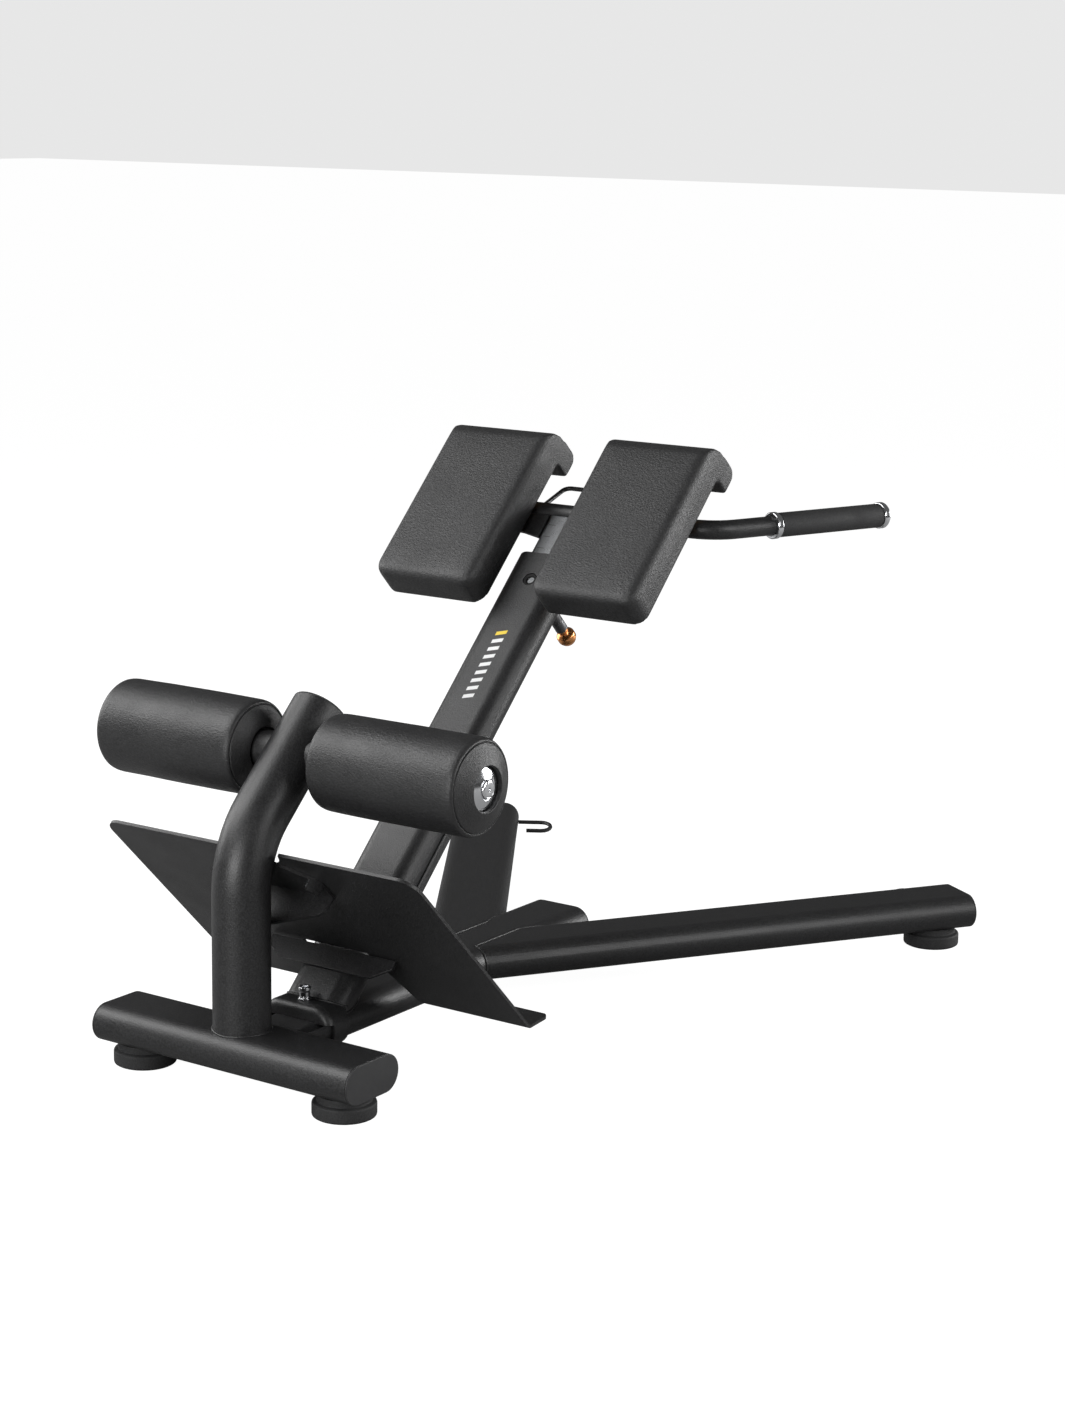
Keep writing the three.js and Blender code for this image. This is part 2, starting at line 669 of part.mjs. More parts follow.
// Web against the underside of the foot plate, a gusset out to the front post and two short ears.
function buildPlateBracket() {
  const under = -GAP - BRACKET_T;
  const slope = 0.475;
  const top = (x) => -3.5 - slope * x;
  const web = onPlateFace([
    [0, top(0)],
    [96, top(96)],
    [BRACKET_HALF - 2, -57],
    [BRACKET_HALF, -64],
    [BRACKET_HALF, -BRACKET_ROOT - BRACKET_T],
    [0, -BRACKET_ROOT - BRACKET_T],
  ], under, -GAP);
  const ear = onPlateFace([
    [90, top(90)],
    [96, top(96)],
    [BRACKET_HALF - 2, -57],
    [BRACKET_HALF, -64],
    [BRACKET_HALF - 5, -64],
    [BRACKET_HALF - 6.5, -60],
    [94, top(94) - BRACKET_T],
    [90, top(90) - BRACKET_T],
  ], under - 17, under + 1);
  const gusset = prismZ(polygon([
    [0, under + 1],
    [0, -75.5],
    [25, -66],
    [96, -38],
    [BRACKET_HALF - 5, -31],
    [BRACKET_HALF - 1.5, -23.5],
    [BRACKET_HALF, under + 1],
  ]), -BRACKET_ROOT - BRACKET_T, -BRACKET_ROOT);
  const half = join(web, ear, gusset);
  const channel = onPlate(join(half, mirrored(half)));
  const clear = rod(frontPostPath(), FRONT_POST_R + GAP, 32);
  const hole = (x) => onPlate(cylinderY(5, -20, 20, 12).translate(x, 0, -BRACKET_BOLT_DOWN));
  const bracket = cut(channel, clear, hole(-BRACKET_BOLT_X), hole(BRACKET_BOLT_X));
  add("foot_plate_bracket", bracket, POWDER);
  const head = cylinderY(8.5, -GAP - BRACKET_T - 6.4, -GAP - BRACKET_T - GAP, 6);
  const shank = cylinderY(4.4, -GAP - BRACKET_T - 3, PLATE_T + 2, 12);
  const dome = cylinderY(8, PLATE_T + GAP, PLATE_T + 4, 16);
  const bolt = join(head, shank, dome).translate(BRACKET_BOLT_X, 0, -BRACKET_BOLT_DOWN);
  addPair("foot_plate_bolt", onPlate(bolt), STEEL);
}

// Strap across the front of the main post that carries the lower half of the plate.
function buildPlateStrap() {
  const front = POST_H / 2 + GAP;
  const shape = polygon([
    [-STRAP_HALF, STRAP_S1],
    [-STRAP_HALF, STRAP_S0 + 23],
    [33 - STRAP_HALF, STRAP_S0],
    [STRAP_HALF - 33, STRAP_S0],
    [STRAP_HALF, STRAP_S0 + 23],
    [STRAP_HALF, STRAP_S1],
  ]);
  add("foot_plate_strap", onPost(prismZ(shape, front, front + 5)), POWDER);
}

// ---------- main post ----------
function buildMainPost() {
  const outer = onPost(prismY(oval(POST_W, POST_H), -120, POST_TOP, 10));
  const inner = prismY(oval(POST_W - 2 * WALL, POST_H - 2 * WALL), -160, POST_TOP + 10, 5);
  const below = box(-200, -200, -200, 200, 600, BASE_Z);
  const frontHole = onPost(cylinderZ(13, 0, 60, 20).translate(0, PIN_S, 0));
  const rearHole = onPost(cylinderZ(11 + GAP, -60, 0, 20).translate(0, PIN_S, 0));
  const rail = railEnvelope(20, RAIL_END_Y);
  const post = cut(outer, onPost(inner), below, rail, collarBlank(GAP), frontHole, rearHole);
  add("main_post", post, POWDER);
  const half = POST_W / 2;
  const block = roundedRect(-half, -POST_H / 2 - GAP - DOUBLER_T, half, DOUBLER_EDGE_H, 5);
  const round = prismY(oval(POST_W + 2, POST_H + 2 * GAP), DOUBLER_S0 - 1, DOUBLER_S1 + 1, 10);
  add("post_doubler", onPost(cut(prismY(block, DOUBLER_S0, DOUBLER_S1, 5), round)), POWDER);
}

function buildPostGuides() {
  const width = POST_W - 2 * WALL - 2 * GAP;
  const height = POST_H - 2 * WALL - 2 * GAP;
  const fill = prismY(oval(width, height), 836, POST_TOP - 1, 5);
  const clear = box(-200, 800, -60, BAR_W / 2 + GAP, 900, 60);
  addPair("post_guide", onPost(cut(fill, clear)), NYLON);
}

// ---------- pop-pin ----------
function buildPopPin() {
  const place = (geometry) => onPost(geometry.translate(0, PIN_S, 0));
  const barrel = turnedZ([
    [PIN_R + GAP, -BAR_H / 2 - 1.2],
    [BARREL_R, -BAR_H / 2 - 1.2],
    [BARREL_R, -POST_H / 2 - GAP],
    [15, -POST_H / 2 - GAP],
    [15, -POST_H / 2 - 7],
    [BARREL_R, -POST_H / 2 - 9],
    [BARREL_R, BARREL_END + 2],
    [BARREL_R - 2, BARREL_END],
    [4.3, BARREL_END],
    [4.3, BARREL_END + 4],
    [BARREL_BORE, BARREL_END + 4],
    [BARREL_BORE, -POST_H / 2 - 6],
    [PIN_R + GAP, -POST_H / 2 - 6],
    [PIN_R + GAP, -BAR_H / 2 - 1.2],
  ], 20);
  add("pop_pin_barrel", place(barrel), STEEL);
  const pin = turnedZ([
    [0, PIN_TIP],
    [3.6, PIN_TIP],
    [PIN_R, PIN_TIP - 2],
    [PIN_R, -50],
    [6.8, -50],
    [6.8, -54],
    [3.6, -54],
    [3.6, KNOB_FROM - 20],
    [0, KNOB_FROM - 20],
  ], 14);
  add("pop_pin_plunger", place(pin), STEEL);
  const knob = turnedZ([
    [3.9, KNOB_FROM],
    [9, KNOB_FROM],
    [9, KNOB_FROM - 5],
    [7.5, KNOB_FROM - 7],
    [8.5, KNOB_FROM - 9.5],
    [14.5, KNOB_FROM - 12],
    [KNOB_R, KNOB_FROM - 15],
    [KNOB_R, KNOB_FROM - 24],
    [14.5, KNOB_FROM - 28.5],
    [9, KNOB_TO + 1],
    [0, KNOB_TO],
    [0, KNOB_FROM - 20 - GAP],
    [3.9, KNOB_FROM - 20 - GAP],
    [3.9, KNOB_FROM],
  ], 22);
  add("pop_pin_knob", place(knob), COPPER);
  const turns = 6;
  const steps = 8;
  const coil = [];
  for (let i = 0; i <= turns * steps; i += 1) {
    const a = (2 * Math.PI * i) / steps;
    const h = -55.5 - (i / (turns * steps)) * 50;
    coil.push(vec(5.4 * Math.cos(a), 5.4 * Math.sin(a), h));
  }
  add("pop_pin_spring", place(rod(coil, 0.9, 4)), STEEL);
}

// ---------- slide bar and carrier ----------
function buildSlideBar() {
  const half = BAR_W / 2;
  const outer = prismY(roundedRect(-half, -BAR_H / 2, half, BAR_H / 2, 8), BAR_S0, BAR_S1, 4);
  const inner = prismY(
    roundedRect(-half + WALL, -BAR_H / 2 + WALL, half - WALL, BAR_H / 2 - WALL, 5),
    BAR_S0 - 5,
    BAR_S1 + 5,
    2,
  );
  const holes = [];
  for (let i = 0; i < HOLE_COUNT; i += 1) {
    const s = PIN_S + HOLE_PITCH - i * HOLE_PITCH;
    holes.push(cylinderZ(PIN_R + 0.6, -BAR_H, 0, 10).translate(0, s, 0));
  }
  add("slide_bar", onPost(cut(outer, inner, ...holes)), STEEL);
}

function handlePath(along) {
  const out = rad(HANDLE_OUT_DEG);
  const centre = postPoint(0, HANDLE_S, HANDLE_H);
  const grip = (side) => vec(
    side * (HANDLE_CORNER_X + along * Math.sin(out)),
    centre.y + along * Math.cos(out),
    centre.z,
  );
  const corner = (side) => vec(side * HANDLE_CORNER_X, centre.y, centre.z);
  return bentPath([grip(-1), corner(-1), corner(1), grip(1)], HANDLE_BEND_R, 6);
}

// Turned piece on the right grip axis, height measured from the handlebar corner.
function onGrip(geometry) {
  const centre = postPoint(HANDLE_CORNER_X, HANDLE_S, HANDLE_H);
  geometry.rotateX(-Math.PI / 2).rotateZ(-rad(HANDLE_OUT_DEG));
  return geometry.translate(centre.x, centre.y, centre.z);
}

function ring(inner, outer, z0, z1, edge, segments = 24) {
  return turnedZ([
    [inner, z0],
    [outer - edge, z0],
    [outer, z0 + edge],
    [outer, z1 - edge],
    [outer - edge, z1],
    [inner, z1],
    [inner, z0],
  ], segments);
}

function buildHandlebar() {
  const outer = rod(handlePath(GRIP_END - 2), HANDLE_R, 24);
  const inner = rod(handlePath(GRIP_END + 8), HANDLE_R - WALL, 12);
  add("handlebar", cut(outer, inner), POWDER);
  const bore = HANDLE_R + GAP;
  addPair("hand_grip", onGrip(ring(bore, GRIP_R, GRIP_START, GRIP_END - 1, 0.8)), RUBBER);
  const collar = ring(bore, COLLAR_R, GRIP_START - 12, GRIP_START - GAP, 1.2, 28);
  addPair("grip_collar", onGrip(collar), CHROME);
  const cap = turnedZ([
    [0, GRIP_END - 22],
    [HANDLE_R - WALL - 0.8, GRIP_END - 22],
    [HANDLE_R - WALL - 0.8, GRIP_END - 1 + GAP],
    [COLLAR_R - 1.2, GRIP_END - 1 + GAP],
    [COLLAR_R, GRIP_END + 0.6],
    [COLLAR_R, GRIP_END + 9],
    [COLLAR_R - 2.4, GRIP_END + 12],
    [0, GRIP_END + 13],
  ], 28);
  addPair("grip_end_cap", onGrip(cap), CHROME);
}

function buildRearLoop() {
  const rise = rad(LOOP_RISE_DEG);
  const back = 68;
  const y = LOOP_REACH_Y - back * Math.cos(rise);
  const z = LOOP_REACH_Z - back * Math.sin(rise);
  const corners = [
    vec(-LOOP_HALF, y, z),
    vec(-LOOP_HALF, LOOP_REACH_Y, LOOP_REACH_Z),
    vec(LOOP_HALF, LOOP_REACH_Y, LOOP_REACH_Z),
    vec(LOOP_HALF, y, z),
  ];
  const tube = rod(handlePath(GRIP_START), HANDLE_R + GAP, 24);
  add("rear_loop", cut(rod(bentPath(corners, 12, 4), ROD_R, 10), tube), POWDER);
}

function buildPadCarrier() {
  const inner = BAR_W / 2 + GAP;
  const top = HANDLE_S - HANDLE_R - GAP;
  const wing = polygon([
    [inner, 911],
    [66, 918],
    [200, 928],
    [212, 934],
    [212, top],
    [inner, top],
  ]);
  addPair("pad_wing", onPost(prismZ(wing, WING_H0, WING_H0 + WING_T)), POWDER);
  const centre = (PAD_X0 + PAD_X1) / 2;
  const half = PAD_RAIL_W / 2;
  const strip = roundedRect(centre - half, 786, centre + half, 1044, 8);
  const back = WING_H0 + WING_T + GAP;
  addPair("pad_rail", onPost(prismZ(strip, back, PAD_BACK - GAP, 4)), POWDER);
}

// ---------- thigh pads ----------
function buildPads() {
  const c = PAD_CHAMFER;
  const plan = roundedRect(PAD_X0 + c, PAD_S0 + c, PAD_X1 - c, PAD_S1 + 30, 10);
  const blank = new THREE.ExtrudeGeometry(plan, {
    depth: 150,
    bevelEnabled: true,
    bevelSize: c,
    bevelThickness: c,
    bevelSegments: 3,
    curveSegments: 5,
  }).translate(0, 0, PAD_FACE - c - 150);
  const side = polygon([
    [PAD_S0 - 5, PAD_BACK],
    [PAD_LIP_S, PAD_BACK],
    [PAD_LIP_S, PAD_LIP_H + 4],
    [PAD_LIP_S + 4, PAD_LIP_H],
    [PAD_S1 - 16, PAD_LIP_H],
    [PAD_S1 - 6, PAD_LIP_H + 5],
    [PAD_S1, PAD_LIP_H + 17],
    [PAD_S1 - 6, 62],
    [PAD_S1 - 14, 80],
    [PAD_S1 - 28, 93],
    [PAD_S1 - 44, PAD_FACE + 1],
    [PAD_S0 - 5, PAD_FACE + 1],
  ]);
  const shaped = common(blank, prismX(side, PAD_X0 - 10, PAD_X1 + 10));
  const inset = BOARD_INSET;
  const pocket = roundedRect(PAD_X0 + inset, PAD_S0 + inset + 4, PAD_X1 - inset, 1048, 14);
  const hollow = prismZ(pocket, PAD_BACK - 1, PAD_BACK + BOARD_T + GAP, 5);
  addPair("thigh_pad", onPost(cut(shaped, hollow)), LEATHER);
  const g = GAP;
  const plate = roundedRect(PAD_X0 + inset + g, PAD_S0 + inset + 4 + g, PAD_X1 - inset - g, 1048 - g, 14);
  addPair("pad_board", onPost(prismZ(plate, PAD_BACK, PAD_BACK + BOARD_T, 5)), PLYWOOD);
}

buildCrossbar();
buildRail();
buildRailJoint();
buildLegs();
buildFeet();
buildHooks();
buildFrontPost();
buildRollers();
buildFootPlate();
buildPlateBracket();
buildPlateStrap();
buildMainPost();
buildPostGuides();
buildPopPin();
buildSlideBar();
buildHandlebar();
buildRearLoop();
buildPadCarrier();
buildPads();

// The origin sits under the middle of the whole part.
const extent = new THREE.Box3().setFromObject(part);
const middle = extent.getCenter(vec(0, 0, 0));
for (const mesh of part.children) {
  mesh.geometry.translate(-middle.x, -middle.y, -extent.min.z);
}

export default part;
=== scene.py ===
"""Looks of a roman chair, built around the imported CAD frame. Blender 4.5, metres."""

import json
import math

import bmesh
import bpy
import numpy as np
from mathutils import Matrix, Vector, noise


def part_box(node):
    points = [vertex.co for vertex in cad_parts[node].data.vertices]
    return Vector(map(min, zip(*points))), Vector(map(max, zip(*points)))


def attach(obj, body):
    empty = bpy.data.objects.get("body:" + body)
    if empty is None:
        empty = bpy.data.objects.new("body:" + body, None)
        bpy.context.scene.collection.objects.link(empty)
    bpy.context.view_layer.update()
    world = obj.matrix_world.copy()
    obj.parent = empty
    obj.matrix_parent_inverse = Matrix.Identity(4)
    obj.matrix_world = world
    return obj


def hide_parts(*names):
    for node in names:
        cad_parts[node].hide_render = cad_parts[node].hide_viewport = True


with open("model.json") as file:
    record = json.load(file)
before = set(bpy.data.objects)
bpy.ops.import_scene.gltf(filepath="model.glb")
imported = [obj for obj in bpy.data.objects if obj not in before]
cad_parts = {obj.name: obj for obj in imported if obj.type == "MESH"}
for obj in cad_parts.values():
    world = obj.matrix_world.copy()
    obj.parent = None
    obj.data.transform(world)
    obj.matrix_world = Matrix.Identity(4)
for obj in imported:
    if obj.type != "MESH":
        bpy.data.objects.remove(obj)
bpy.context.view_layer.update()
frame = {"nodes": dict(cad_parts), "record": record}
NODES = frame["nodes"]
SLOT_OF = {row["node"]: row["material_slot"] for row in frame["record"]["subparts"]}
SIDES = (("right", 1.0), ("left", -1.0))

# ---------- places and sizes, from the frame ----------
TUBE_H = 0.060
BAR_LOW, BAR_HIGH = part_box("front_crossbar")
FRONT_Y = (BAR_LOW.y + BAR_HIGH.y) / 2
BASE_Z = (BAR_LOW.z + BAR_HIGH.z) / 2
BASE_TOP = BAR_HIGH.z
TUBE_R = TUBE_H / 2
TUBE_FLAT = (BAR_HIGH.y - BAR_LOW.y) / 2 - TUBE_R
POST_TILT = math.radians(44.75)
POST_FOOT_Y = FRONT_Y + 0.198
POST_W = 0.117
POST_H = 0.058
PIN_S = 0.819
LEG_SPLAY = math.radians(33)
LEG_APEX_Y = FRONT_Y + 0.575
HANDLE_OUT = math.radians(20)
GRIP_START = 0.137
GRIP_END = 0.368
PAD_BACK = 0.035
PAD_LIP_S = 1.061


def middle(node):
    low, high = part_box(node)
    return (low + high) / 2


ROLLER_AXIS = middle("roller_axle")
ROLLER_LOW, ROLLER_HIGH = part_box("ankle_roller_right")
ROLLER_R = (ROLLER_HIGH.z - ROLLER_LOW.z) / 2
HOLE_R = 0.0345
HOLE_DEPTH = 0.0105
HANDLE_Z = middle("handlebar").z
HANDLE_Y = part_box("handlebar")[0].y + 0.0165
HANDLE_CORNER_X = 0.2853

# Main post frame: x across, y up along the post, z out of its front face.
POST = Matrix.Translation((0, POST_FOOT_Y, BASE_TOP)) @ Matrix.Rotation(POST_TILT, 4, "X")
PIN = POST @ Matrix.Translation((0, PIN_S, 0))


# ---------- node materials ----------
class Shader:
    """A material being built: makes nodes and links them."""

    def __init__(self, name, color, roughness, metallic=0.0, **sockets):
        self.material = bpy.data.materials.new(name)
        self.material.use_nodes = True
        self.material.diffuse_color = (*color, 1)
        self.tree = self.material.node_tree
        self.bsdf = self.tree.nodes["Principled BSDF"]
        self.base = color
        self.set("Base Color", (*color, 1))
        self.set("Roughness", roughness)
        self.set("Metallic", metallic)
        for key, value in sockets.items():
            self.set(key.replace("_", " "), value)

    def set(self, socket, value):
        self.bsdf.inputs[socket].default_value = value

    def link(self, out, into):
        self.tree.links.new(out, into)

    def node(self, kind, **inputs):
        made = self.tree.nodes.new(kind)
        for key, value in inputs.items():
            target = made.inputs[key.replace("_", " ")]
            if isinstance(value, bpy.types.NodeSocket):
                self.link(value, target)
            else:
                target.default_value = value
        return made

    def coords(self, scale=(1, 1, 1), tilt=0.0):
        """Object coordinates, turned about X by the tilt and then scaled."""
        source = self.tree.nodes.new("ShaderNodeTexCoord").outputs["Object"]
        mapping = self.node("ShaderNodeMapping", Vector=source, Scale=scale)
        mapping.vector_type = "POINT"
        mapping.inputs["Rotation"].default_value = (-tilt, 0, 0)
        return mapping.outputs["Vector"]

    def noise(self, scale, detail=3.0, vector=None, roughness=0.55, distortion=0.0):
        vector = self.coords() if vector is None else vector
        made = self.node("ShaderNodeTexNoise", Vector=vector, Scale=scale, Detail=detail,
                         Roughness=roughness, Distortion=distortion)
        return made.outputs["Fac"]

    def cells(self, scale, vector=None, feature="F1", smooth=0.3):
        vector = self.coords() if vector is None else vector
        made = self.tree.nodes.new("ShaderNodeTexVoronoi")
        made.feature = feature
        self.link(vector, made.inputs["Vector"])
        made.inputs["Scale"].default_value = scale
        if feature == "SMOOTH_F1":
            made.inputs["Smoothness"].default_value = smooth
        return made.outputs["Distance"]

    def spread(self, value, low, high, from_low=0.3, from_high=0.7):
        made = self.node("ShaderNodeMapRange", Value=value)
        made.inputs["From Min"].default_value = from_low
        made.inputs["From Max"].default_value = from_high
        made.inputs["To Min"].default_value = low
        made.inputs["To Max"].default_value = high
        return made.outputs["Result"]

    def math(self, operation, a, b):
        made = self.tree.nodes.new("ShaderNodeMath")
        made.operation = operation
        for socket, value in zip(made.inputs, (a, b)):
            if isinstance(value, bpy.types.NodeSocket):
                self.link(value, socket)
            else:
                socket.default_value = value
        return made.outputs[0]

    def vary_color(self, value, darker, lighter):
        """Base colour between a darker and a lighter multiple of itself."""
        made = self.tree.nodes.new("ShaderNodeMix")
        made.data_type = "RGBA"
        self.link(value, made.inputs[0])
        made.inputs[6].default_value = (*(c * darker for c in self.base), 1)
        made.inputs[7].default_value = (*(c * lighter for c in self.base), 1)
        self.link(made.outputs[2], self.bsdf.inputs["Base Color"])

    def vary_roughness(self, value, low, high, from_low=0.3, from_high=0.7):
        self.link(self.spread(value, low, high, from_low, from_high), self.bsdf.inputs["Roughness"])

    def bump(self, height, distance, strength=1.0, under=None):
        made = self.node("ShaderNodeBump", Height=height, Distance=distance, Strength=strength)
        if under is not None:
            self.link(under, made.inputs["Normal"])
        self.link(made.outputs["Normal"], self.bsdf.inputs["Normal"])
        return made.outputs["Normal"]


def powder_coat():
    s = Shader("black_powder_coat", (0.014, 0.014, 0.0145), 0.42, Specular_IOR_Level=0.5)
    smudge = s.noise(9, 4)
    grit = s.noise(430, 2)
    peel = s.noise(240, 2)
    s.vary_color(s.spread(grit, 0, 1, 0.35, 0.65), 0.5, 1.7)
    s.vary_roughness(s.math("ADD", s.math("MULTIPLY", smudge, 0.5), s.math("MULTIPLY", grit, 0.5)),
                     0.34, 0.5)
    under = s.bump(peel, 0.0003, 0.5)
    s.bump(grit, 0.0006, 0.6, under)
    return s.material


def pad_leather():
    s = Shader("pebbled_black_vinyl", (0.019, 0.019, 0.0195), 0.5, Specular_IOR_Level=0.5)
    grain = s.coords((0.62, 1.0, 1.0), POST_TILT)
    wobble = s.noise(270, 3, grain, 0.6, 0.9)
    pebble = s.cells(400, grain, "SMOOTH_F1", 0.35)
    mixed = s.math("ADD", s.math("MULTIPLY", wobble, 0.9), s.math("MULTIPLY", pebble, 0.7))
    s.vary_color(s.spread(mixed, 0, 1, 0.4, 1.0), 0.6, 1.5)
    s.vary_roughness(s.noise(14, 4), 0.44, 0.56)
    under = s.bump(mixed, 0.0009, 0.65)
    s.bump(s.noise(1500, 2), 0.00015, 0.4, under)
    return s.material


def roller_foam():
    s = Shader("skinned_black_foam", (0.0165, 0.0165, 0.017), 0.44, Specular_IOR_Level=0.5)
    grain = s.coords((0.5, 1.0, 1.0))
    wrinkle = s.noise(290, 3, grain, 0.62, 1.2)
    pebble = s.cells(420, grain, "SMOOTH_F1", 0.4)
    mixed = s.math("ADD", wrinkle, s.math("MULTIPLY", pebble, 0.5))
    s.vary_color(s.spread(mixed, 0, 1, 0.45, 1.0), 0.6, 1.5)
    s.vary_roughness(s.noise(16, 4), 0.38, 0.5)
    under = s.bump(mixed, 0.0008, 0.6)
    s.bump(s.noise(1500, 2), 0.00015, 0.4, under)
    return s.material


def rubber(name="black_rubber", color=(0.02, 0.02, 0.0205), speckle=520):
    s = Shader(name, color, 0.72, Specular_IOR_Level=0.4)
    grit = s.noise(speckle, 3)
    s.vary_color(s.spread(grit, 0, 1, 0.35, 0.65), 0.75, 1.5)
    s.vary_roughness(s.noise(22, 3), 0.62, 0.82)
    s.bump(grit, 0.00025, 0.7)
    return s.material


def moulded(name, color, roughness=0.5):
    s = Shader(name, color, roughness, Specular_IOR_Level=0.45)
    grit = s.noise(1900, 2)
    s.vary_color(s.noise(30, 3), 0.85, 1.2)
    s.vary_roughness(s.noise(25, 3), roughness - 0.06, roughness + 0.08)
    s.bump(grit, 0.0001, 0.5)
    return s.material


def polished(name, color, roughness, streak=(1, 1, 1), tilt=0.0, depth=0.00001):
    s = Shader(name, color, roughness, 1.0)
    fine = s.noise(900, 3, s.coords(streak, tilt))
    smudge = s.noise(35, 4)
    s.vary_color(smudge, 0.9, 1.06)
    s.vary_roughness(s.math("ADD", s.math("MULTIPLY", fine, 0.6), s.math("MULTIPLY", smudge, 0.4)),
                     roughness * 0.7, roughness * 1.5)
    s.bump(fine, depth, 0.5)
    return s.material


def plywood():
    s = Shader("birch_plywood", (0.5, 0.32, 0.16), 0.62)
    fibre = s.noise(60, 5, s.coords((9, 0.5, 1), POST_TILT), 0.6, 0.6)
    s.vary_color(s.spread(fibre, 0, 1), 0.62, 1.2)
    s.vary_roughness(fibre, 0.55, 0.75)
    s.bump(fibre, 0.0003, 0.4)
    return s.material


def plain(name, color, roughness=0.55):
    s = Shader(name, color, roughness)
    s.vary_color(s.noise(700, 2), 0.9, 1.06)
    s.bump(s.noise(1500, 2), 0.00005, 0.3)
    return s.material


MATERIALS = {
    "powder_coat": powder_coat(),
    "cap_plastic": moulded("satin_black_cap", (0.03, 0.03, 0.031), 0.46),
    "rubber": rubber(),
    "roller_foam": roller_foam(),
    "pad_leather": pad_leather(),
    "chrome": polished("polished_chrome", (0.82, 0.83, 0.85), 0.12),
    "steel": polished("brushed_zinc", (0.2, 0.205, 0.21), 0.3, (5, 0.1, 1), POST_TILT, 0.0002),
    "copper_knob": polished("copper_anodised", (0.95, 0.42, 0.16), 0.24),
    "nylon": moulded("black_nylon", (0.02, 0.02, 0.022), 0.55),
    "plywood": plywood(),
}
WELD = MATERIALS["powder_coat"]
WHITE_INK = plain("white_print", (0.8, 0.8, 0.8))
YELLOW_INK = plain("yellow_print", (0.83, 0.6, 0.05))
# Near-black: the tick print on the slide bar, and painted shade for the inside of the post's pin hole
DARK_PRINT_AND_SHADE = moulded("dark_print_and_recess_shade", (0.004, 0.004, 0.004), 0.7)
DARK_ZINC = polished("dark_zinc", (0.16, 0.16, 0.165), 0.36)


# ---------- mesh helpers ----------
def new_object(name, mesh, material, body):
    obj = bpy.data.objects.new(name, mesh)
    bpy.context.scene.collection.objects.link(obj)
    mesh.materials.clear()
    mesh.materials.append(material)
    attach(obj, body)
    return obj


def smooth(mesh, degrees=35):
    mesh.polygons.foreach_set("use_smooth", [True] * len(mesh.polygons))
    mesh.set_sharp_from_angle(angle=math.radians(degrees))
    mesh.update()


def mesh_from(vertices, faces, place=None, degrees=35):
    mesh = bpy.data.meshes.new("piece")
    mesh.from_pydata([tuple(v) for v in vertices], [], faces)
    if place is not None:
        mesh.transform(place)
    grid = bmesh.new()
    grid.from_mesh(mesh)
    bmesh.ops.remove_doubles(grid, verts=grid.verts, dist=1e-6)
    bmesh.ops.recalc_face_normals(grid, faces=grid.faces)
    grid.to_mesh(mesh)
    grid.free()
    smooth(mesh, degrees)
    return mesh


def rounded(profile, radius, steps=3):
    """The [r, z] profile with each inner corner replaced by a small arc."""
    points = [Vector(p) for p in profile]
    out = [points[0]]
    for before, corner, after in zip(points, points[1:], points[2:]):
        into, away = (before - corner), (after - corner)
        reach = min(radius, into.length * 0.45, away.length * 0.45)
        start, end = corner + into.normalized() * reach, corner + away.normalized() * reach
        for i in range(steps + 1):
            t = i / steps
            out.append((1 - t) ** 2 * start + 2 * t * (1 - t) * corner + t * t * end)
    return out + [points[-1]]


def lathe(profile, place, segments=72, radius=0.0006, degrees=30):
    """A closed body turned about Z. The profile runs from the axis to the axis, or closes on itself."""
    line = rounded(profile, radius)
    vertices, rings = [], []
    for r, z in line:
        if r < 1e-7:
            rings.append([len(vertices)] * segments)
            vertices.append((0, 0, z))
            continue
        rings.append(range(len(vertices), len(vertices) + segments))
        for k in range(segments):
            a = 2 * math.pi * k / segments
            vertices.append((r * math.cos(a), r * math.sin(a), z))
    faces = []
    for low, high in zip(rings, rings[1:]):
        for k in range(segments):
            n = (k + 1) % segments
            corners = [low[k], low[n], high[n], high[k]]
            corners = [c for i, c in enumerate(corners) if c not in corners[:i]]
            if len(corners) > 2:
                faces.append(corners)
    return mesh_from(vertices, faces, place, degrees)


def sweep(path, radius, closed=False, sides=10, wave=0.0):
    """A round bead along a path, its size rippling a little by wave."""
    vertices, faces = [], []
    count = len(path)
    for i, point in enumerate(path):
        ahead = path[(i + 1) % count] if closed or i + 1 < count else point
        behind = path[i - 1] if closed or i else point
        along = (ahead - behind).normalized()
        side = along.orthogonal() if i == 0 else (side - along * side.dot(along))
        side = side.normalized()
        up = along.cross(side)
        r = radius * (1 + wave * math.cos(i * math.pi))
        for k in range(sides):
            a = 2 * math.pi * k / sides
            vertices.append(point + side * (r * math.cos(a)) + up * (r * math.sin(a)))
    for i in range(count if closed else count - 1):
        j = (i + 1) % count
        for k in range(sides):
            n = (k + 1) % sides
            faces.append([i * sides + k, i * sides + n, j * sides + n, j * sides + k])
    if not closed:
        faces.append(list(range(sides)))
        faces.append([(count - 1) * sides + k for k in range(sides)])
    return mesh_from(vertices, faces, None, 60)


def prism(outline, z0, z1, place):
    """A flat plate with the [x, y] outline, from z0 to z1."""
    count = len(outline)
    vertices = [(x, y, z) for z in (z0, z1) for x, y in outline]
    faces = [list(range(count)), [count + i for i in range(count)]]
    for i in range(count):
        j = (i + 1) % count
        faces.append([i, j, count + j, count + i])
    return mesh_from(vertices, faces, place, 30)


def circle(radius, sides, turn=0.0):
    angles = [turn + 2 * math.pi * k / sides for k in range(sides)]
    return [(radius * math.cos(a), radius * math.sin(a)) for a in angles]


def merged(meshes):
    grid = bmesh.new()
    for mesh in meshes:
        grid.from_mesh(mesh)
    out = bpy.data.meshes.new("piece")
    grid.to_mesh(out)
    grid.free()
    smooth(out, 35)
    return out


